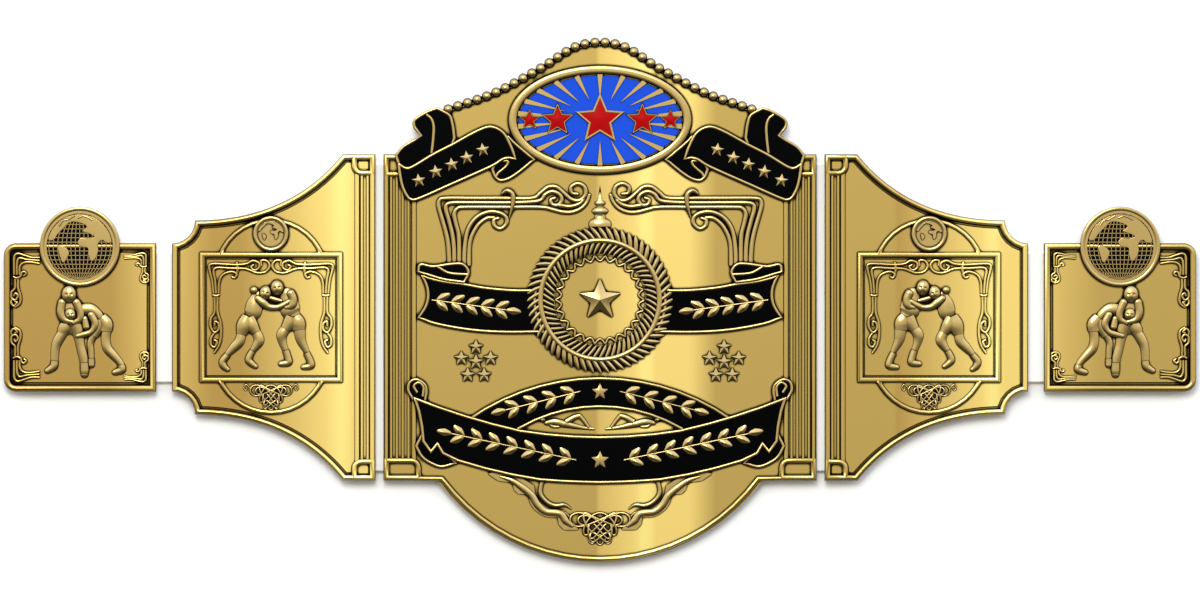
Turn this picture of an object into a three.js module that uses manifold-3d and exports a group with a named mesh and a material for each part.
// Championship title belt: five cast, gold-plated plates in a row on one leather strap.
// Millimetres. The belt lies on its back: +X runs along the row, +Y is up the plates and +Z is out of their
// faces. The origin is the middle of the centre plate, on the strap's back. The left half is drawn, and the
// right half mirrors it.
import * as THREE from "three";
import { mergeVertices } from "three/addons/utils/BufferGeometryUtils.js";
import Module from "manifold-3d";

const wasm = await Module();
wasm.setup();

// Driving sizes

const clearance = 0.3;
const chordError = 0.7;
// How far a cutter runs past what it cuts
const spare = 1;
const strap = { thickness: 3, inset: 5 };
const post = { radius: 2, sides: 6, spread: 0.5 };
const plateThickness = 3;
const rim = { width: 3.2, height: 1.6 };
const beltLineDrop = 9.3;
const gap = { innerToCentre: 4.3, outerToInner: 8.4 };

const centre = { width: 231, height: 279.4, sideHeight: 174.1, shelf: 28.8 };
const inner = { width: 108.5, height: 174.1, earHeight: 103.5, notch: 12.3, crest: 17.4 };
const outer = { width: 81.3, height: 79.2, corner: 6.4 };

const ridge = { height: 1.1, thin: 1.2, wide: 2.5, pitch: 3.1, inFromRim: 0.9 };
const centreColumn = { width: 17.6, thinRidges: 4 };
const innerColumn = { width: 11, thinRidges: 2 };
const centreBox = { width: 20.3, height: 12.3 };
const innerBox = { width: 12.8, height: 11.7 };
const boxRound = 5.3;

const bead = { radius: 2.5, pitch: 5.4, sides: 10, strip: 0.5, margin: 0.1, overhang: 1.3 };
const emblem = { width: 98.2, height: 58.6, sides: 24, rim: 5, rimHeight: 2.2, floor: 0.9 };
// How far the emblem's middle lies above the sides, as a share of the crown
const emblemRise = 0.295;
// Rays fan out above and below the stars, from a share of the way to the rim. Angles are in degrees
const halfTurn = 180;
const ray = { perFan: 6, lowest: 35, width: 1.6, height: 0.4, start: 0.72 };
const emblemStar = { radius: 14.2, height: 1.6, shrink: 0.66, nearness: 0.96 };
const banner = { floor: 0.8, step: 0.7, edge: 1.5, lip: 0.5 };
const bandStar = { radius: 3.4, height: 0.8 };
// How far down these stars lie is a share of the relief's height
const archStar = { radius: 4.4, down: 0.367 };
const lowerStar = { radius: 4.8, down: 0.64 };
// The lean of a leaf from its stem is in radians
const leaf = { length: 6.4, width: 2.6, height: 0.7, lean: 0.6 };
const stem = { width: 0.9, height: 0.4 };
// The inner corners of a star, as a share of its radius
const starWaist = 0.45;
const clusterStar = { radius: 3.9, height: 1.2, pitch: 7.8 };
const medallion = { radius: 38.9, band: 31.8, bandWidth: 2.8, hole: 23.2, height: 1.8, edge: 0.8 };
const tooth = { count: 20, depth: 3.4, slant: 0.1, scallop: 1 };
const medallionStar = { radius: 11, height: 1.5 };
const finial = { height: 22.2, width: 12.2, depth: 0.35 };
const reed = { width: 1.9, height: 1.2, step: 10 };
const clasp = { width: 2.8, height: 1.7 };
const knot = { width: 37, height: 15.7, wire: 1.5, thickness: 1.2 };
// In shares of half the centre plate's height
const bottomKnotDown = 0.855;
const innerKnot = { width: 29, height: 12.8 };

const panel = { width: 76.5, height: 69.8, bar: 3.1, sheet: 0.5, offCentre: -1.4 };
const topArch = { span: 57.4, rise: 20.6 };
const lowArch = { span: 58.4, rise: 19.7 };
const archBar = 2.6;
const globe = { radius: 21.3, rim: 2.2, height: 1.9, floor: 0.9, land: 0.5, drop: 1.8 };
const innerGlobe = { radius: 9.4, rim: 1.6, height: 1.5, floor: 0.8, land: 0.4, rise: 9.7 };
const scroll = { reach: 26.7, bar: 1.7, height: 0.9, step: 0.35 };
const outerScroll = { reach: 26.7, small: 0.56, margin: 5 };
const globeSides = 16;
const pair = { field: 53.3, flatness: 0.75, rise: 0.4, sides: 4, foot: 0.1 };
const tieUpFoot = 28.3;
const headlockFoot = 30.9;
const recliner = { length: 29.3, middle: 16.8, down: 0.492 };

// Levels and places that follow from them

const face = strap.thickness;
const field = face + plateThickness;
const rimTop = field + rim.height;
const halfCentre = centre.width / 2;
const innerX = halfCentre + gap.innerToCentre + inner.width / 2;
const outerX = innerX + inner.width / 2 + gap.outerToInner + outer.width / 2;
const beltLine = -beltLineDrop;
const sideTop = beltLine + centre.sideHeight / 2;
const shelfLevel = beltLine - centre.sideHeight / 2;
// How far up the middles of the globes and the lower knot lie on their plates
const outerGlobePlace = outer.height / 2 - globe.drop;
const innerGlobePlace = panel.height / 2 + innerGlobe.rise;
const lowArchFloor = -panel.height / 2 + 2 * archBar - lowArch.rise;
const innerKnotPlace = lowArchFloor + chordError + clearance + innerKnot.height / 2;
// The swell of a quarter circle
const quarter = Math.tan(Math.PI / 8);
// The relief of the centre plate is drawn in shares of these: from the middle to the columns, and to the rims
const reliefX = halfCentre - centreColumn.width / 2;
const reliefY = centre.height / 2 - 2 * rim.width;
const crown = centre.height / 2 - sideTop;
const emblemPlace = sideTop + emblemRise * crown;
const knotPlace = (-bottomKnotDown * centre.height) / 2;

// Rows of [across, up] for the crown of the centre plate. Up is a share of the crown, above the sides.

const crestRows = [
  [-0.965, 0.057],
  [-0.885, 0.144],
  [-0.925, 0.234],
  [-0.915, 0.281],
  [-0.86, 0.342],
  [-0.8, 0.38],
];
const crestFoot = -1.01;
const beadRows = [
  [-0.758, 0.387],
  [-0.521, 0.531],
  [-0.298, 0.738],
  [-0.1, 0.938],
];

// Outlines in rows of [across, up, swell]. The swell bows the edge that follows out, or in if it is negative,
// and is a share of half that edge.

const starBandRows = [
  [-1.02, 0.544, 0],
  [-0.97, 0.532, 0],
  [-0.61, 0.684, 0.25],
  [-0.455, 0.64, 0],
  [-0.42, 0.56, 0],
  [-0.485, 0.564, 0],
  [-0.93, 0.392, 0.3],
  [-0.98, 0.416, 0],
];
const upperRollRows = [
  [-1.01, 0.56, 0.2],
  [-0.98, 0.614, 0],
  [-0.9, 0.66, 0],
  [-0.935, 0.69, 0.3],
  [-0.92, 0.722, 0],
  [-0.81, 0.768, 0.3],
  [-0.75, 0.73, 0.1],
  [-0.735, 0.6, 0],
  [-0.97, 0.5, 0],
];
const upperFoldRows = [
  [-0.865, 0.745],
  [-0.835, 0.71],
  [-0.84, 0.6],
];
const upperTailRows = [
  [-0.47, 0.64, 0],
  [-0.4, 0.67, 0],
  [-0.3, 0.56, 0],
  [-0.4, 0.508, 0.05],
  [-0.5, 0.474, 0.3],
  [-0.545, 0.53, 0],
];
const sideBodyRows = [
  [-0.9, 0.1, -0.16],
  [-0.915, -0.074, 0.06],
  [-0.31, -0.134, 0],
  [-0.31, 0.044, -0.04],
  [-0.685, 0.07, 0],
];
const sideRollRows = [
  [-0.915, 0.127, 0.3],
  [-0.89, 0.15, 0],
  [-0.835, 0.136, 0.1],
  [-0.68, 0.148, 0.3],
  [-0.655, 0.1, 0],
  [-0.68, 0.064, 0],
  [-0.8, 0.078, 0],
  [-0.9, 0.104, 0],
];
const sideFoldRows = [
  [-0.81, 0.135],
  [-0.75, 0.108],
  [-0.665, 0.102],
];
const archRows = [
  [-0.66, -0.474, 0.154],
  [0, -0.308, 0.154],
  [0.66, -0.474, 0],
  [0.6, -0.55, 0],
  [0.4, -0.55, 0],
  [0.4, -0.518, -0.134],
  [0, -0.432, -0.134],
  [-0.4, -0.518, 0],
  [-0.4, -0.55, 0],
  [-0.6, -0.55, 0],
];
const lowerLeftRows = [
  [0, -0.735, 0.02],
  [-0.3, -0.724, 0.04],
  [-0.71, -0.648, 0],
  [-0.79, -0.617, 0],
  [-0.813, -0.586, 0],
  [-0.845, -0.617, 0],
  [-0.89, -0.566, -0.08],
  [-0.935, -0.385, -0.04],
  [-0.4, -0.518, -0.04],
  [0, -0.544, 0],
];
const curlRows = [
  [-0.965, -0.364, 0.3],
  [-0.915, -0.316, 0.3],
  [-0.863, -0.347, 0.1],
  [-0.873, -0.41, 0],
  [-0.93, -0.4, 0],
];
const hookRows = [
  [-0.925, -0.583, 0.25],
  [-0.86, -0.656, 0.2],
  [-0.71, -0.654, 0],
  [-0.8, -0.6, 0],
  [-0.9, -0.53, 0],
];
const landRows = [
  [
    [-0.88, 0.25],
    [-0.62, 0.68],
    [-0.15, 0.92],
    [-0.3, 0.62],
    [-0.62, 0.34],
  ],
  [
    [-0.68, 0],
    [-0.3, -0.14],
    [-0.46, -0.5],
  ],
  [
    [0.02, 0.92],
    [0.58, 0.72],
    [0.86, 0.3],
    [0.44, 0.02],
    [0.36, -0.44],
    [0.18, -0.04],
    [-0.06, 0.08],
    [0.2, 0.5],
  ],
];

// Lines in rows of [across, up]

const reedRows = [
  [
    [-0.735, 0.13],
    [-0.745, 0.26],
    [-0.79, 0.38],
    [-0.765, 0.412],
    [-0.6, 0.413],
    [-0.3, 0.413],
    [-0.235, 0.446],
    [-0.185, 0.415],
    [-0.215, 0.378],
    [-0.245, 0.405],
  ],
  [
    [-0.71, 0.13],
    [-0.715, 0.26],
    [-0.735, 0.36],
    [-0.7, 0.393],
    [-0.5, 0.395],
    [-0.25, 0.385],
  ],
  [
    [-0.685, 0.13],
    [-0.67, 0.28],
    [-0.61, 0.36],
    [-0.48, 0.373],
    [-0.28, 0.373],
    [-0.17, 0.35],
    [-0.085, 0.375],
    [-0.058, 0.42],
  ],
];
const lowerSpiralRows = [
  [-0.64, 0.33],
  [-0.57, 0.362],
  [-0.5, 0.352],
  [-0.475, 0.315],
  [-0.505, 0.297],
  [-0.515, 0.32],
];
const endSpiralRows = [
  [-0.19, 0.405],
  [-0.13, 0.386],
  [-0.09, 0.42],
  [-0.115, 0.446],
  [-0.14, 0.428],
];
const claspRows = [
  [-0.485, 0.44],
  [-0.455, 0.425],
  [-0.455, 0.36],
  [-0.465, 0.33],
];
const bracketRows = [
  [-0.54, -0.69],
  [-0.44, -0.73],
  [-0.425, -0.775],
  [-0.345, -0.785],
  [-0.3, -0.845],
  [-0.2, -0.868],
  [-0.185, -0.91],
  [-0.1, -0.915],
];
const bracketWidth = 4;
const stationRows = [
  [-0.905, 0.477],
  [-0.82, 0.512],
  [-0.74, 0.541],
  [-0.665, 0.568],
  [-0.585, 0.6],
];
const clusterMiddle = [-0.62, -0.249];
// In shares of the cluster's pitch
const clusterRows = [
  [0, 1.02],
  [-1, 0.25],
  [1, 0.25],
  [0, 0],
  [-0.56, -0.9],
  [0.56, -0.9],
];
// In shares of the scroll's reach, from the corner of its panel inwards
const panelScrollRows = [
  [
    [1.24, -0.24],
    [1.1, -0.12],
    [0.22, -0.12],
    [0.16, -0.6],
    [0.19, -1.2],
    [0.08, -1.45],
    [0.2, -1.65],
    [0.16, -1.88],
  ],
  [
    [0.95, -0.28],
    [0.42, -0.28],
    [0.2, -0.8],
  ],
];
const outerScrollRows = [
  [
    [0.02, -1.04],
    [0.12, -0.5],
    [0.04, -0.1],
    [0.5, -0.1],
    [0.62, -0.2],
  ],
  [
    [0.1, -0.75],
    [0.24, -0.3],
    [0.55, -0.28],
  ],
];
// Laurel sprigs on the banners in rows of [from across, from up, to across, to up, pairs of leaves]
const sprigRows = {
  side: [[-0.84, 0.005, -0.4, -0.05, 2]],
  arch: [[-0.1, -0.368, -0.5, -0.45, 2]],
  lower: [[-0.12, -0.63, -0.74, -0.535, 3]],
};

// Profile of half a bead in rows of [out, up], in shares of its radius
const beadProfile = [
  [0, 0],
  [1, 0],
  [0.78, 0.62],
  [0, 1],
];
// Profile of the finial in rows of [out, along], in shares of its half width and its height
const finialRows = [
  [0, 0],
  [1, 0],
  [1, 0.14],
  [0.5, 0.3],
  [0.75, 0.4],
  [0.35, 0.5],
  [0.5, 0.58],
  [0.22, 0.64],
  [0, 1],
];

// Limbs in rows of [from across, from up, to across, to up, radius, end radius, lift], in shares of the field
// of the pair. The origin is on the ground between the feet.
const tieUpRows = [
  [-0.063, 0.792, -0.062, 0.79, 0.069, 0.069, 0.06],
  [-0.192, 0.72, -0.206, 0.56, 0.075, 0.07, 0],
  [-0.125, 0.7, -0.018, 0.618, 0.04, 0.036, 0.05],
  [-0.01, 0.618, 0.157, 0.685, 0.034, 0.03, 0.05],
  [-0.262, 0.48, -0.19, 0.405, 0.08, 0.064, 0.02],
  [-0.275, 0.42, -0.43, 0.17, 0.056, 0.038, 0],
  [-0.43, 0.155, -0.496, 0.072, 0.032, 0.03, 0],
  [-0.49, 0.066, -0.45, 0.01, 0.028, 0.025, 0],
  [-0.175, 0.385, -0.117, 0.285, 0.055, 0.046, 0.02],
  [-0.117, 0.29, -0.19, 0.21, 0.044, 0.038, 0.02],
  [-0.205, 0.19, -0.246, 0.096, 0.034, 0.03, 0],
  [-0.24, 0.09, -0.167, 0.046, 0.029, 0.026, 0],
  [0.055, 0.838, 0.056, 0.83, 0.07, 0.07, 0.06],
  [0.18, 0.735, 0.2, 0.6, 0.074, 0.072, 0.02],
  [0.15, 0.75, 0.02, 0.74, 0.03, 0.026, 0.05],
  [0.225, 0.53, 0.25, 0.44, 0.084, 0.095, 0.02],
  [0.135, 0.42, 0.09, 0.35, 0.054, 0.05, 0.02],
  [0.09, 0.336, 0.136, 0.23, 0.046, 0.04, 0.02],
  [0.145, 0.2, 0.18, 0.095, 0.036, 0.032, 0],
  [0.18, 0.078, 0.085, 0.066, 0.03, 0.026, 0],
  [0.285, 0.386, 0.352, 0.205, 0.054, 0.038, 0],
  [0.355, 0.165, 0.402, 0.07, 0.034, 0.03, 0],
  [0.4, 0.05, 0.31, 0.03, 0.03, 0.026, 0],
];
const headlockRows = [
  [-0.1, 0.81, -0.1, 0.785, 0.069, 0.062, 0.06],
  [-0.095, 0.7, -0.095, 0.585, 0.095, 0.085, 0],
  [-0.193, 0.73, -0.178, 0.57, 0.038, 0.034, 0.03],
  [0.0, 0.7, 0.012, 0.57, 0.036, 0.032, 0.03],
  [-0.165, 0.56, -0.095, 0.53, 0.028, 0.026, 0.06],
  [0.0, 0.565, -0.065, 0.533, 0.028, 0.026, 0.06],
  [-0.09, 0.605, -0.089, 0.6, 0.056, 0.056, 0.05],
  [-0.163, 0.476, -0.01, 0.476, 0.055, 0.055, 0.02],
  [-0.178, 0.414, -0.24, 0.124, 0.056, 0.036, 0],
  [-0.235, 0.1, -0.324, 0.036, 0.034, 0.03, 0],
  [-0.002, 0.4, 0.044, 0.18, 0.05, 0.042, 0.01],
  [0.044, 0.15, 0.05, 0.0, 0.042, 0.03, 0.01],
  [0.065, 0.67, 0.17, 0.652, 0.056, 0.056, 0.02],
  [0.19, 0.62, 0.28, 0.47, 0.06, 0.07, 0.02],
  [0.11, 0.6, 0.157, 0.5, 0.034, 0.03, 0.05],
  [0.15, 0.46, -0.02, 0.403, 0.03, 0.028, 0.05],
  [0.2, 0.45, 0.12, 0.14, 0.048, 0.034, 0.02],
  [0.265, 0.414, 0.265, 0.315, 0.052, 0.046, 0],
  [0.28, 0.284, 0.418, 0.13, 0.042, 0.034, 0],
  [0.448, 0.085, 0.356, 0.04, 0.032, 0.028, 0],
];
// In shares of the recliner's length, with the radii too
const reclinerRows = [
  [-0.42, 0, -0.05, -0.02, 0.036, 0.045, 0],
  [-0.14, 0.06, -0.139, 0.06, 0.045, 0.045, 0.02],
  [-0.05, -0.02, 0.44, -0.11, 0.045, 0.026, 0],
  [-0.04, 0.03, 0.36, 0.13, 0.036, 0.04, 0.01],
  [0.35, 0.14, 0.46, -0.04, 0.042, 0.028, 0.01],
];

// Lines and outlines in the plane

function point(x, y) {
  return new THREE.Vector2(x, y);
}

/** Points of an arc from a up to b, which is left out. It swells right by a share of half the chord. */
function arcPoints(a, b, swell) {
  if (!swell) {
    return [a.clone()];
  }
  const chord = b.clone().sub(a);
  const half = chord.length() / 2;
  const sagitta = swell * half;
  const radius = (half * half + sagitta * sagitta) / (2 * Math.abs(sagitta));
  const right = point(chord.y, -chord.x).normalize();
  const inwards = sagitta - Math.sign(sagitta) * radius;
  const heart = a.clone().addScaledVector(chord, 0.5).addScaledVector(right, inwards);
  const angle = 4 * Math.atan(swell);
  const step = 2 * Math.acos(Math.max(0.7, 1 - chordError / radius));
  const count = Math.max(2, Math.ceil(Math.abs(angle) / step));
  return Array.from({ length: count }, (_, i) => a.clone().rotateAround(heart, (angle * i) / count));
}

/** A closed outline from rows of [across, up, swell], in shares of two sizes. */
function outline(rows, sizeX, sizeY) {
  const corners = rows.map(([across, up]) => point(across * sizeX, up * sizeY));
  const way = Math.sign(THREE.ShapeUtils.area(corners));
  const next = (i) => corners[(i + 1) % corners.length];
  return corners.flatMap((corner, i) => arcPoints(corner, next(i), way * rows[i][2]));
}

function scaled(rows, sizeX, sizeY) {
  return rows.map(([across, up]) => point(across * sizeX, up * sizeY));
}

/** A smooth line through points, in steps of about one length. */
function smooth(points, step) {
  const curve = new THREE.SplineCurve(points);
  return curve.getSpacedPoints(Math.max(points.length - 1, Math.round(curve.getLength() / step)));
}

function mirrored(points) {
  return points.map(({ x, y }) => point(-x, y)).reverse();
}

/** Outlines and their mirror images. */
function bothSides(outlines) {
  return [...outlines, ...outlines.map(mirrored)];
}

function moved(points, x, y) {
  return points.map((p) => point(p.x + x, p.y + y));
}

function oval(radiusX, radiusY, count) {
  return new THREE.EllipseCurve(0, 0, radiusX, radiusY).getPoints(count).slice(0, count);
}

function rectangle(x0, y0, x1, y1) {
  return [point(x0, y0), point(x1, y0), point(x1, y1), point(x0, y1)];
}

/** Moves each point of a line to the right of its way by a distance, with mitred corners. */
function shifted(points, distance, closed) {
  const count = points.length;
  return points.map((p, i) => {
    const before = points[closed ? (i + count - 1) % count : Math.max(i - 1, 0)];
    const after = points[closed ? (i + 1) % count : Math.min(i + 1, count - 1)];
    const wayOut = after.clone().sub(p).normalize();
    const wayIn = p.clone().sub(before).normalize();
    const mitre = wayIn.clone().add(wayOut).normalize();
    const along = wayIn.lengthSq() > 0 ? wayIn : wayOut;
    const reach = distance / Math.max(0.5, mitre.dot(along));
    return point(p.x + mitre.y * reach, p.y - mitre.x * reach);
  });
}

/** A closed outline grown outwards by a distance, or shrunk by a negative one. */
function grown(points, distance) {
  return shifted(points, Math.sign(THREE.ShapeUtils.area(points)) * distance, true);
}

/** The outline of a bar along an open line. */
function bar(points, width) {
  return [...shifted(points, width / 2, false), ...shifted(points, -width / 2, false).reverse()];
}

// Solids

function toSolid(geometry) {
  geometry.deleteAttribute("normal");
  geometry.deleteAttribute("uv");
  const merged = mergeVertices(geometry, 1e-4);
  const corners = [];
  for (let i = 0; i < merged.index.count; i += 3) {
    const [a, b, c] = merged.index.array.slice(i, i + 3);
    if (a !== b && b !== c && c !== a) {
      corners.push(a, b, c);
    }
  }
  const vertProperties = merged.attributes.position.array;
  return new wasm.Manifold(new wasm.Mesh({ numProp: 3, vertProperties, triVerts: new Uint32Array(corners) }));
}

function toGeometry(solid) {
  const { vertProperties, triVerts } = solid.getMesh();
  const geometry = new THREE.BufferGeometry();
  geometry.setAttribute("position", new THREE.BufferAttribute(new Float32Array(vertProperties), 3));
  geometry.setIndex([...triVerts]);
  return geometry;
}

/** A straight solid on an outline, from one level to another. */
function prism(points, bottom, top) {
  const options = { depth: top - bottom, bevelEnabled: false };
  return toSolid(new THREE.ExtrudeGeometry(new THREE.Shape(points), options).translate(0, 0, bottom));
}

function united(solids) {
  return solids.reduce((whole, solid) => whole.add(solid));
}

function without(solid, cutters) {
  return cutters.reduce((whole, cutter) => whole.subtract(cutter), solid);
}

/** What lies between two levels of a solid. */
function between(solid, bottom, top) {
  return solid.trimByPlane([0, 0, 1], bottom).trimByPlane([0, 0, -1], -top);
}

/** Straight solids on several outlines, joined between two levels. */
function prisms(outlines, bottom, top) {
  return between(united(outlines.map((points) => prism(points, bottom - spare, top + spare))), bottom, top);
}

/** A border that stands on the inside of an outline. */
function border(points, width, bottom, top) {
  return prism(points, bottom, top).subtract(prism(grown(points, -width), bottom - spare, top + spare));
}

/** Borders on the inside of several outlines, joined between two levels. */
function borders(outlines, width, bottom, top) {
  const tall = united(outlines.map((points) => border(points, width, bottom - spare, top + spare)));
  return between(tall, bottom, top);
}

/** A slab that is sunk to a floor inside its border. */
function tray(points, width, bottom, floor, top) {
  return prism(points, bottom, top).subtract(prism(grown(points, -width), floor, top + spare));
}

/** The room over the plates' field that a piece on an outline needs for itself. */
function roomFor(points) {
  return prism(grown(points, clearance), field, field + emblem.rimHeight + medallion.height);
}

function flipped(geometry) {
  const copy = geometry.clone().scale(-1, 1, 1);
  const corners = copy.index.array;
  for (let i = 0; i < corners.length; i += 3) {
    [corners[i], corners[i + 1]] = [corners[i + 1], corners[i]];
  }
  return copy;
}

/** A five-pointed star that rises to a point, with a ridge to each tip. */
function starGeometry(radius, height) {
  const cone = new THREE.ConeGeometry(radius, height, 10, 1).rotateX(Math.PI / 2).translate(0, 0, height / 2);
  const position = cone.attributes.position;
  for (let i = 0; i < position.count; i += 1) {
    const corner = Math.round((Math.atan2(position.getX(i), position.getY(i)) * 5) / Math.PI);
    const reach = corner % 2 === 0 ? 1 : starWaist;
    position.setXY(i, position.getX(i) * reach, position.getY(i) * reach);
  }
  return cone;
}

function star(radius, height, x, y, bottom) {
  return toSolid(starGeometry(radius, height).translate(x, y, bottom));
}

/** A pointed leaf with a ridge, from its root. */
function leafSolid(root, angle, bottom) {
  const cone = new THREE.ConeGeometry(1, leaf.height, 4, 1).rotateX(Math.PI / 2);
  cone.scale(leaf.length / 2, leaf.width / 2, 1).translate(leaf.length / 2, 0, 0).rotateZ(angle);
  return toSolid(cone.translate(root.x, root.y, bottom + leaf.height / 2));
}

/** A laurel sprig: a stem with pairs of leaves. */
function sprig([fromAcross, fromUp, toAcross, toUp, leaves], bottom) {
  const from = point(fromAcross * reliefX, fromUp * reliefY);
  const to = point(toAcross * reliefX, toUp * reliefY);
  const way = to.clone().sub(from);
  const roots = Array.from({ length: leaves }, (_, i) => from.clone().addScaledVector(way, i / leaves));
  const pairs = roots.flatMap((root) => [
    leafSolid(root, way.angle() + leaf.lean, bottom),
    leafSolid(root, way.angle() - leaf.lean, bottom),
  ]);
  const stalk = prism(bar([from, to], stem.width), bottom, bottom + stem.height);
  return united([stalk, ...pairs, leafSolid(roots.at(-1), way.angle(), bottom)]);
}

/** A tapering limb with pointed ends, flattened as relief is, that stands a little into the ground. */
function limb([fromAcross, fromUp, toAcross, toUp, startShare, endShare, lift], size, bottom) {
  const from = point(fromAcross * size, fromUp * size);
  const to = point(toAcross * size, toUp * size);
  const length = from.distanceTo(to);
  const start = startShare * size;
  const depth = pair.flatness + (lift * pair.rise) / startShare;
  const geometry = new THREE.CapsuleGeometry(start, length, 1, pair.sides);
  geometry.rotateZ(-Math.PI / 2).scale(1, 1, depth);
  const position = geometry.attributes.position;
  for (let i = 0; i < position.count; i += 1) {
    const x = position.getX(i);
    const taper = x > 0 ? endShare / startShare : 1;
    const beyond = Math.max(0, Math.abs(x) - length / 2) * taper;
    const inside = Math.min(Math.abs(x), length / 2);
    position.setXYZ(i, Math.sign(x) * (inside + beyond), position.getY(i) * taper, position.getZ(i) * taper);
  }
  const middle = from.clone().add(to).multiplyScalar(0.5);
  return toSolid(geometry.rotateZ(to.sub(from).angle()).translate(middle.x, middle.y, bottom - pair.foot));
}

/** A figure in relief: the upper side of its limbs. */
function figure(rows, size, bottom) {
  return united(rows.map((row) => limb(row, size, bottom))).trimByPlane([0, 0, 1], bottom);
}

/** A raised banner panel: its enamelled floor with a border. A higher order lies in front of a lower one. */
function bannerPanel(points, order) {
  const floor = field + banner.floor + order * banner.step;
  return tray(points, banner.edge, field, floor, floor + banner.lip);
}

function bannerFold(line, order) {
  const floor = field + banner.floor + order * banner.step;
  return prism(bar(line, banner.edge), floor, floor + banner.lip);
}

// Outlines that more than one piece follows

const centreRelief = (rows) => outline(rows, reliefX, reliefY);
const starBand = centreRelief(starBandRows);
const upperRoll = centreRelief(upperRollRows);
const upperTail = centreRelief(upperTailRows);
const sideBody = centreRelief(sideBodyRows);
const sideRoll = centreRelief(sideRollRows);
const archBody = centreRelief(archRows);
const lowerBody = centreRelief(symmetric(lowerLeftRows));
const curl = centreRelief(curlRows);
const hook = centreRelief(hookRows);
const emblemOutline = moved(oval(emblem.width / 2, emblem.height / 2, emblem.sides), 0, emblemPlace);
const medallionOutline = oval(medallion.radius, medallion.radius, 2 * tooth.count);

/** The rows of a symmetric outline, from those of its left half, which begin and end in the middle. */
function symmetric(rows) {
  const last = rows.length - 1;
  const left = rows.map(([across, up, swell], i) => [across, up, i === last ? rows[last - 1][2] : swell]);
  const right = rows.slice(1, last).map(([across, up], i) => [-across, up, rows[i][2]]);
  return [...left, ...right.reverse()];
}

/** Points of the crown, which stands on the sides of the centre plate. */
function onCrown(rows) {
  return moved(scaled(rows, reliefX, crown), 0, sideTop);
}

function beadLine() {
  const left = onCrown(beadRows);
  const through = [...left, ...mirrored(left)];
  const length = new THREE.SplineCurve(through).getLength();
  return smooth(through, length / Math.round(length / bead.pitch));
}

/** The shelves of the centre plate and the bowl between them, from the left to the right. */
function centreLowerEdge() {
  const shelfX = halfCentre - centre.shelf;
  const bowlDepth = centre.height / 2 + shelfLevel;
  const bowl = arcPoints(point(-shelfX, shelfLevel), point(shelfX, shelfLevel), bowlDepth / shelfX);
  return [point(-halfCentre, shelfLevel), ...bowl, point(shelfX, shelfLevel), point(halfCentre, shelfLevel)];
}

/** What the rim of the centre plate follows. It has none above its sides. */
function centreRimOutline() {
  const above = sideTop + rim.width + spare;
  return [point(-halfCentre, above), ...centreLowerEdge(), point(halfCentre, above)];
}

function centreOutline() {
  const top =shifted(beadLine(), bead.overhang - bead.radius, false).filter((_, i) => i % 3 === 0);
  const upper = [
    ...top.filter(({ x }) => x < 0).reverse(),
    ...onCrown(crestRows).reverse(),
    point(crestFoot * reliefX, sideTop),
    point(-halfCentre, sideTop),
  ];
  return [...upper, ...centreLowerEdge(), ...mirrored(upper)];
}

/** The curved top edge of the left inner plate, from its crest to its ear, about the plate's own middle. */
function innerCurve() {
  const crest = point(inner.width / 2 - inner.crest, inner.height / 2);
  const ear = point(-inner.width / 2 + inner.notch, inner.earHeight / 2);
  const way = ear.clone().sub(crest);
  const steep = point(crest.x + 0.19 * way.x, crest.y + 0.53 * way.y);
  const level = point(crest.x + 0.5 * way.x, ear.y);
  return new THREE.CubicBezierCurve(crest, steep, level, ear).getPoints(7);
}

function innerOutline() {
  const top = innerCurve();
  const notchEnd = point(-inner.width / 2, inner.earHeight / 2 - inner.notch);
  const upper = [...top, ...arcPoints(top.at(-1), notchEnd, -quarter).slice(1), notchEnd];
  const lower = upper.map(({ x, y }) => point(x, -y)).reverse();
  const side = inner.width / 2;
  return [point(side, inner.height / 2), ...upper, ...lower, point(side, -inner.height / 2)];
}

function outerOutline() {
  const halfX = outer.width / 2;
  const halfY = outer.height / 2;
  const top = [point(-halfX + outer.corner, halfY), point(-halfX, halfY - outer.corner)];
  const low = [point(-halfX, -halfY + outer.corner), point(-halfX + outer.corner, -halfY)];
  const corners = [...arcPoints(...top, quarter), top[1], ...arcPoints(...low, quarter), low[1]];
  return [point(halfX, halfY), ...corners, point(halfX, -halfY)];
}

/** A box in the top left corner of a plate, whose inner corner is round. Its origin is the plate's corner. */
function cornerBox({ width, height }) {
  const bend = [point(width, -height + boxRound), point(width - boxRound, -height)];
  const round = [...arcPoints(bend[1], bend[0], quarter), bend[0]];
  return [point(0, 0), point(0, -height), ...round, point(width, 0)];
}

// Pieces of the strap and the plates

/** The posts of a plate, on its back, or the holes for them if they are grown. */
function posts(x, width, growth, bottom) {
  const places = [x - (width / 2) * post.spread, x + (width / 2) * post.spread];
  const length = face - bottom;
  return places.map((place) => {
    const rod = new THREE.CylinderGeometry(post.radius + growth, post.radius + growth, length, post.sides);
    return toSolid(rod.rotateX(Math.PI / 2).translate(place, 0, bottom + length / 2));
  });
}

function strapSolid() {
  const narrow = outer.height / 2 - strap.inset;
  const wide = centre.sideHeight / 2 - strap.inset;
  const end = -outerX - outer.width / 2 + strap.inset;
  const flare = moved(shifted(innerCurve(), -strap.inset, false).reverse(), -innerX, 0);
  const left = [
    point(end, narrow),
    point(-innerX - inner.width / 2 + strap.inset, narrow),
    ...flare,
    point(-innerX + inner.width / 2, wide),
  ];
  const upper = [...left, ...mirrored(left)];
  const lower = upper.map(({ x, y }) => point(x, -y)).reverse();
  const rows = [
    [0, centre.width],
    [-innerX, inner.width],
    [innerX, inner.width],
    [-outerX, outer.width],
    [outerX, outer.width],
  ];
  const holes = rows.flatMap(([x, width]) => posts(x, width, clearance, -spare));
  return without(prism([...upper, ...lower], 0, face), holes).translate([0, beltLine, 0]);
}

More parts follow.
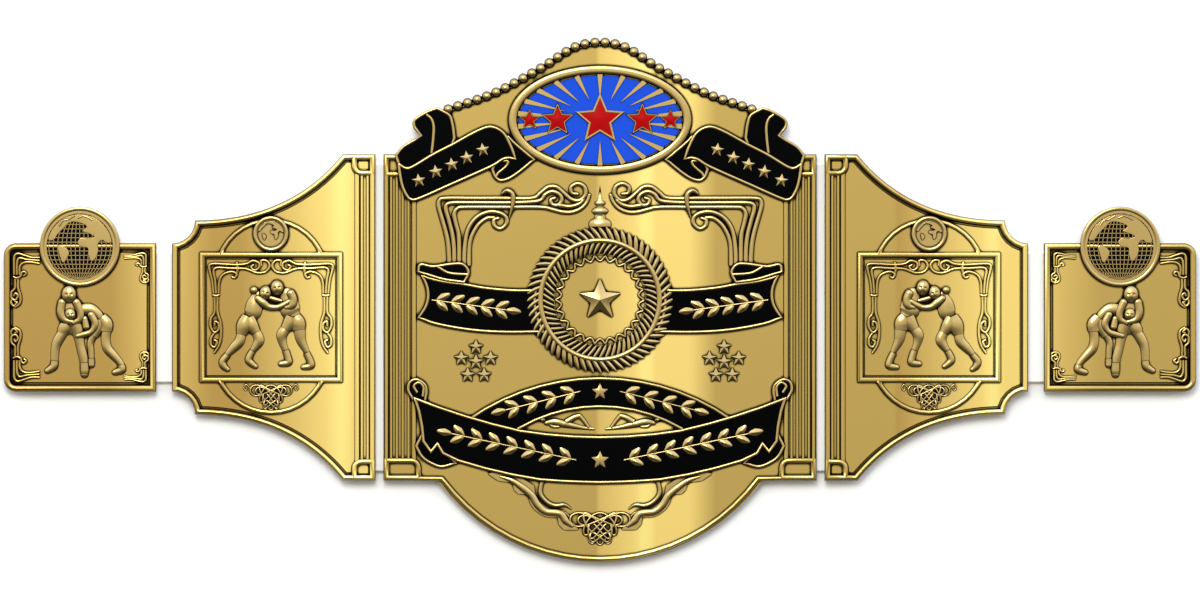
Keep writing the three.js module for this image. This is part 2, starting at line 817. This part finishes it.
/** The ridges of a column whose outer edge is at x = 0, between two heights up the plate. */
function ridges(column, low, high) {
  const first = rim.width + ridge.inFromRim;
  const thin = Array.from({ length: column.thinRidges }, (_, i) => [first + i * ridge.pitch, ridge.thin]);
  const rows = [...thin, [column.width - ridge.wide / 2, ridge.wide]];
  return rows.map(([x, width]) => rectangle(x - width / 2, low, x + width / 2, high));
}

/** Outlines of the ridges and corner boxes of a column whose outer edge is at x, between two heights. */
function columnOutlines(column, box, x, low, high) {
  const bars = ridges(column, low + box.height - rim.width / 2, high - box.height + rim.width / 2);
  const lowBox = cornerBox(box).map((p) => point(p.x + x, low - p.y)).reverse();
  return { bars: bars.map((points) => moved(points, x, 0)), boxes: [moved(cornerBox(box), x, high), lowBox] };
}

/** A plate with a raised rim on an outline, joined to its ridges and corner boxes. */
function plateBody(edge, rimEdge, { bars, boxes }) {
  const edges = [rimEdge, ...boxes];
  const frames = edges.map((points) => border(points, rim.width, field - spare, rimTop + spare));
  const rimmed = united([prism(edge, face, field), ...frames]).trimByPlane([0, 0, -1], -rimTop);
  return united([rimmed, ...bars.map((points) => prism(points, field - spare, field + ridge.height))]);
}

function centrePlate() {
  const left = columnOutlines(centreColumn, centreBox, -halfCentre, shelfLevel, sideTop);
  const both = { bars: bothSides(left.bars), boxes: bothSides(left.boxes) };
  const top = prism(rectangle(-centre.width, sideTop, centre.width, centre.height), field, rimTop + spare);
  const rooms = bothSides([starBand, upperRoll, lowerBody, curl, hook, sideBody, sideRoll]).map(roomFor);
  const backPosts = posts(0, centre.width, 0, clearance).map((rod) => rod.translate([0, beltLine, 0]));
  const body = plateBody(centreOutline(), centreRimOutline(), both);
  return united([without(body, [top, ...rooms]), ...backPosts]);
}

function innerPlate() {
  const left = columnOutlines(innerColumn, innerBox, -inner.width / 2, -inner.height / 2, inner.height / 2);
  const right = { bars: left.bars.map(mirrored), boxes: left.boxes.map(mirrored) };
  const edge = innerOutline();
  return united([plateBody(edge, edge, right), ...posts(0, inner.width, 0, clearance)]);
}

/** The outline of an arch on a straight edge, which rises or hangs from it. */
function archOutline({ span, rise }, level, way) {
  const left = point(-span / 2, level);
  const right = point(span / 2, level);
  const swell = rise / (span / 2);
  return way > 0 ? [...arcPoints(right, left, swell), left] : [...arcPoints(left, right, swell), right];
}

function innerPanel() {
  const halfX = panel.width / 2;
  const halfY = panel.height / 2;
  const frame = rectangle(-halfX, -halfY, halfX, halfY);
  const arches = [archOutline(topArch, halfY - archBar, 1), archOutline(lowArch, -halfY + archBar, -1)];
  const top = field + panel.sheet;
  const lines = scrollLines(panelScrollRows, scroll.reach);
  const left = lines.map((line) => moved(line, -halfX + panel.bar, halfY - panel.bar));
  return united([
    prisms([frame, ...arches], field, top),
    border(frame, panel.bar, top, rimTop),
    borders(arches, archBar, top, rimTop),
    prisms(bothSides(left).map((line) => bar(line, scroll.bar)), top, top + scroll.height),
  ]).subtract(roomFor(moved(globeDisc(innerGlobe), 0, innerGlobePlace)));
}

function scrollLines(lines, reach) {
  return lines.map((rows) => smooth(scaled(rows, reach, reach), reach * scroll.step));
}

function globeDisc({ radius }) {
  return oval(radius, radius, globeSides);
}

function globeSolid(size) {
  const floor = field + size.floor;
  const reach = size.radius - size.rim;
  const lands = landRows.map((rows) => prism(scaled(rows, reach, reach), floor, floor + size.land));
  return united([tray(globeDisc(size), size.rim, field, floor, field + size.height), ...lands]);
}

function outerPlate() {
  const edge = outerOutline();
  const disc = moved(globeDisc(globe), 0, outerGlobePlace);
  const lines = scrollLines(outerScrollRows, outerScroll.reach);
  const small = scrollLines(outerScrollRows.slice(0, 1), outerScroll.reach * outerScroll.small);
  const x = outer.width / 2 - outerScroll.margin;
  const y = outer.height / 2 - outerScroll.margin;
  const left = lines.map((line) => moved(line, -x, y));
  const upper = [...left, ...small.map((line) => mirrored(moved(line, -x, y)))];
  const scrolls = [...upper, ...upper.map((line) => line.map((p) => point(p.x, -p.y)))];
  const relief = [
    border(edge, rim.width, field, rimTop),
    prisms(scrolls.map((line) => bar(line, scroll.bar)), field, field + scroll.height),
  ];
  return united([
    prisms([edge, grown(disc, -clearance)], face, field),
    united(relief).subtract(roomFor(disc)),
    ...posts(0, outer.width, 0, clearance),
  ]);
}

// Pieces of the centre plate's relief

function beadRow() {
  const line = beadLine();
  const foot = field + bead.strip;
  const strip = prism(bar(line, 2 * (bead.radius + bead.margin)), field, foot);
  const profile = scaled(beadProfile, bead.radius, bead.radius);
  const dome = new THREE.LatheGeometry(profile, bead.sides).rotateX(Math.PI / 2);
  const beads = line.map(({ x, y }) => toSolid(dome.clone().translate(x, y, foot)));
  return without(united([strip, ...beads]), bothSides([upperRoll]).map(roomFor));
}

/** The places and radii of the five stars on the emblem, from the middle outwards. */
function emblemStars() {
  const { radius, shrink, nearness } = emblemStar;
  const second = radius * shrink;
  const third = second * shrink;
  const near = (radius + second) * nearness;
  const far = near + (second + third) * nearness;
  return [
    [0, radius],
    [-near, second],
    [near, second],
    [-far, third],
    [far, third],
  ];
}

/** The outline of a ray that widens to the emblem's rim, at an angle from its middle. */
function rayOutline(degrees) {
  const angle = THREE.MathUtils.degToRad(degrees);
  const halfX = emblem.width / 2 - emblem.rim;
  const halfY = emblem.height / 2 - emblem.rim;
  const tip = point(Math.cos(angle) * halfX, Math.sin(angle) * halfY);
  const aside = point(-tip.y, tip.x).setLength(ray.width / 2);
  return [tip.clone().multiplyScalar(ray.start), tip.clone().sub(aside), tip.clone().add(aside)];
}

function emblemSolid() {
  const floor = field + emblem.floor;
  const step = (halfTurn - 2 * ray.lowest) / (ray.perFan - 1);
  const angles = Array.from({ length: ray.perFan }, (_, i) => ray.lowest + i * step);
  const rays = [...angles, ...angles.map((angle) => -angle)].map(rayOutline);
  const edge = oval(emblem.width / 2, emblem.height / 2, emblem.sides);
  return united([
    tray(edge, emblem.rim, field, floor, field + emblem.rimHeight),
    ...rays.map((points) => prism(points, floor, floor + ray.height)),
  ]).translate([0, emblemPlace, 0]);
}

function upperRibbon() {
  const top = field + banner.floor + banner.step;
  const stations = scaled(stationRows, reliefX, reliefY);
  const stars = stations.map(({ x, y }) => star(bandStar.radius, bandStar.height, x, y, top));
  const fold = bannerFold(scaled(upperFoldRows, reliefX, reliefY), 0);
  const panels = [bannerPanel(upperTail, 0), bannerPanel(upperRoll, 0), fold, bannerPanel(starBand, 1)];
  return united([...panels, ...stars]).subtract(roomFor(emblemOutline));
}

function sideBanner() {
  const sprigs = sprigRows.side.map((row) => sprig(row, field + banner.floor));
  const fold = bannerFold(scaled(sideFoldRows, reliefX, reliefY), 1);
  const panels = [bannerPanel(sideBody, 0), ...sprigs, bannerPanel(sideRoll, 1), fold];
  return united(panels).subtract(roomFor(medallionOutline));
}

function archBanner() {
  const sprigs = sprigRows.arch.map((row) => sprig(row, field + banner.floor));
  const both = sprigs.flatMap((solid) => [solid, toSolid(flipped(toGeometry(solid)))]);
  const middle = star(archStar.radius, bandStar.height, 0, -archStar.down * reliefY, field + banner.floor);
  return united([bannerPanel(archBody, 0), ...both, middle]).subtract(roomFor(lowerBody));
}

function lowerBanner() {
  const top = field + banner.floor + banner.step;
  const sprigs = sprigRows.lower.map((row) => sprig(row, top));
  const left = united([bannerPanel(curl, 0), bannerPanel(hook, 0), ...sprigs]);
  const middle = star(lowerStar.radius, bandStar.height, 0, -lowerStar.down * reliefY, top);
  return united([bannerPanel(lowerBody, 1), left, toSolid(flipped(toGeometry(left))), middle]);
}

function scrollFrame() {
  const rows = [...reedRows, lowerSpiralRows, endSpiralRows];
  const curves = rows.map((line) => smooth(scaled(line, reliefX, reliefY), reed.step));
  const reeds = prisms(curves.map((line) => bar(line, reed.width)), field, field + reed.height);
  const grip = prism(bar(scaled(claspRows, reliefX, reliefY), clasp.width), field, field + clasp.height);
  return without(united([reeds, grip]), [roomFor(sideRoll), roomFor(sideBody)]);
}

/** A ring with slanted teeth outside and scallops inside. */
function medallionSolid() {
  const { radius, band, bandWidth, hole, height, edge } = medallion;
  const profile = [
    point(hole, 0),
    point(radius, 0),
    point(radius, edge),
    point(band + bandWidth / 2, height),
    point(band - bandWidth / 2, height),
    point(hole, edge),
    point(hole, 0),
  ];
  const ring = new THREE.LatheGeometry(profile, 2 * tooth.count).rotateX(Math.PI / 2);
  const position = ring.attributes.position;
  for (let i = 0; i < position.count; i += 1) {
    const odd = Math.floor(i / profile.length) % 2 === 1;
    const spot = point(position.getX(i), position.getY(i));
    if (spot.length() > band + bandWidth) {
      spot.rotateAround(point(0, 0), tooth.slant).setLength(odd ? radius - tooth.depth : radius);
    } else if (spot.length() < band - bandWidth) {
      spot.rotateAround(point(0, 0), -tooth.slant).setLength(odd ? hole + tooth.scallop : hole);
    }
    position.setXY(i, spot.x, spot.y);
  }
  return toSolid(ring.translate(0, 0, field));
}

function finialSolid() {
  const profile = finialRows.map(([out, along]) => point((out * finial.width) / 2, along * finial.height));
  const spindle = new THREE.LatheGeometry(profile, 8).scale(1, 1, finial.depth);
  return toSolid(spindle.translate(0, medallion.radius + clearance, field)).trimByPlane([0, 0, 1], field);
}

/** An interlaced knot: two side loops, one across them and a drop below. */
function knotSolid(width, height, bottom) {
  const side = moved(oval(width * 0.29, height * 0.3, 7), -width * 0.21, height * 0.2);
  const drop = moved(oval(width * 0.12, height * 0.4, 6), 0, -height * 0.1);
  return borders([...bothSides([side]), drop], knot.wire, bottom, bottom + knot.thickness);
}

function bottomBracket() {
  const knotRoom = roomFor(moved(oval(knot.width / 2, knot.height / 2, 16), 0, knotPlace));
  const line = scaled(bracketRows, reliefX, reliefY);
  return without(prism(bar(line, bracketWidth), field, field + reed.height), [roomFor(lowerBody), knotRoom]);
}

function recliningFigure() {
  const body = figure(reclinerRows, recliner.length, field);
  const placed = body.translate([-recliner.middle, -recliner.down * reliefY, 0]);
  return without(placed, [roomFor(archBody), roomFor(lowerBody)]);
}

// Assembly

const finishes = {
  plate: { color: "#bfa257", roughness: 0.3, metalness: 1 },
  relief: { color: "#d8b865", roughness: 0.25, metalness: 1 },
  leather: { color: "#efece4", roughness: 0.7, metalness: 0 },
  redEnamel: { color: "#c41212", roughness: 0.2, metalness: 0.1 },
  blueEnamel: { color: "#265ae0", roughness: 0.2, metalness: 0.1 },
  blackEnamel: { color: "#0b0b0c", roughness: 0.2, metalness: 0.1 },
};

function add(group, name, solid, finish) {
  const piece = new THREE.Mesh(toGeometry(solid), new THREE.MeshStandardMaterial(finishes[finish]));
  piece.name = name;
  group.add(piece);
}

/** Adds a piece on the left and its mirror image on the right. */
function addBoth([left, right], name, solid, finish) {
  add(left, `${name}_left`, solid, finish);
  add(right, `${name}_right`, toSolid(flipped(toGeometry(solid))), finish);
}

/** Adds a globe on the left and on the right, both with the same lands in view. */
function addGlobes([left, right], name, size, across, up) {
  const piece = globeSolid(size);
  add(left, `${name}_left`, piece.translate([across, up, 0]), "relief");
  add(right, `${name}_right`, piece.translate([-across, up, 0]), "relief");
}

const belt = new THREE.Group();

function groupAt(x, y) {
  const group = new THREE.Group();
  group.position.set(x, y, 0);
  belt.add(group);
  return group;
}

function addCentrePlate(group) {
  const both = [group, group];
  add(group, "center_plate", centrePlate(), "plate");
  add(group, "bead_row", beadRow(), "relief");
  add(group, "emblem", emblemSolid(), "blueEnamel");
  emblemStars().forEach(([x, radius], i) => {
    const solid = star(radius, emblemStar.height, x, emblemPlace, field + emblem.floor);
    add(group, `emblem_star_${i + 1}`, solid, "redEnamel");
  });
  addBoth(both, "upper_ribbon", upperRibbon(), "blackEnamel");
  addBoth(both, "scroll_frame", scrollFrame(), "relief");
  addBoth(both, "side_banner", sideBanner(), "blackEnamel");
  add(group, "medallion", medallionSolid(), "relief");
  add(group, "medallion_star", star(medallionStar.radius, medallionStar.height, 0, 0, field), "relief");
  add(group, "finial", finialSolid(), "relief");
  clusterRows.forEach(([across, up], i) => {
    const x = clusterMiddle[0] * reliefX + across * clusterStar.pitch;
    const y = clusterMiddle[1] * reliefY + up * clusterStar.pitch;
    const solid = star(clusterStar.radius, clusterStar.height, x, y, field);
    addBoth(both, `cluster_star_${i + 1}`, solid, "relief");
  });
  add(group, "arch_banner", archBanner(), "blackEnamel");
  add(group, "lower_banner", lowerBanner(), "blackEnamel");
  addBoth(both, "reclining_figure", recliningFigure(), "relief");
  addBoth(both, "bottom_bracket", bottomBracket(), "relief");
  const bottomKnot = knotSolid(knot.width, knot.height, field);
  add(group, "bottom_knot", bottomKnot.translate([0, knotPlace, 0]), "relief");
}

function addInnerPlates(groups) {
  const onPanel = (solid, up) => solid.translate([panel.offCentre, up, 0]);
  const tieUp = figure(tieUpRows, pair.field, field + panel.sheet);
  const lowKnot = knotSolid(innerKnot.width, innerKnot.height, field + panel.sheet);
  addBoth(groups, "inner_plate", innerPlate(), "plate");
  addBoth(groups, "inner_panel", onPanel(innerPanel(), 0), "plate");
  addGlobes(groups, "inner_globe", innerGlobe, panel.offCentre, innerGlobePlace);
  addBoth(groups, "inner_wrestlers", onPanel(tieUp, -tieUpFoot), "relief");
  addBoth(groups, "inner_knot", onPanel(lowKnot, innerKnotPlace), "relief");
}

function addOuterPlates(groups) {
  const headlock = figure(headlockRows, pair.field, field).translate([0, -headlockFoot, 0]);
  const globeRoom = roomFor(moved(globeDisc(globe), 0, outerGlobePlace));
  addBoth(groups, "outer_plate", outerPlate(), "plate");
  addGlobes(groups, "outer_globe", globe, 0, outerGlobePlace);
  addBoth(groups, "outer_wrestlers", headlock.subtract(globeRoom), "relief");
}

add(belt, "strap", strapSolid(), "leather");
addCentrePlate(groupAt(0, 0));
addInnerPlates([groupAt(-innerX, beltLine), groupAt(innerX, beltLine)]);
addOuterPlates([groupAt(-outerX, beltLine), groupAt(outerX, beltLine)]);

export default belt;
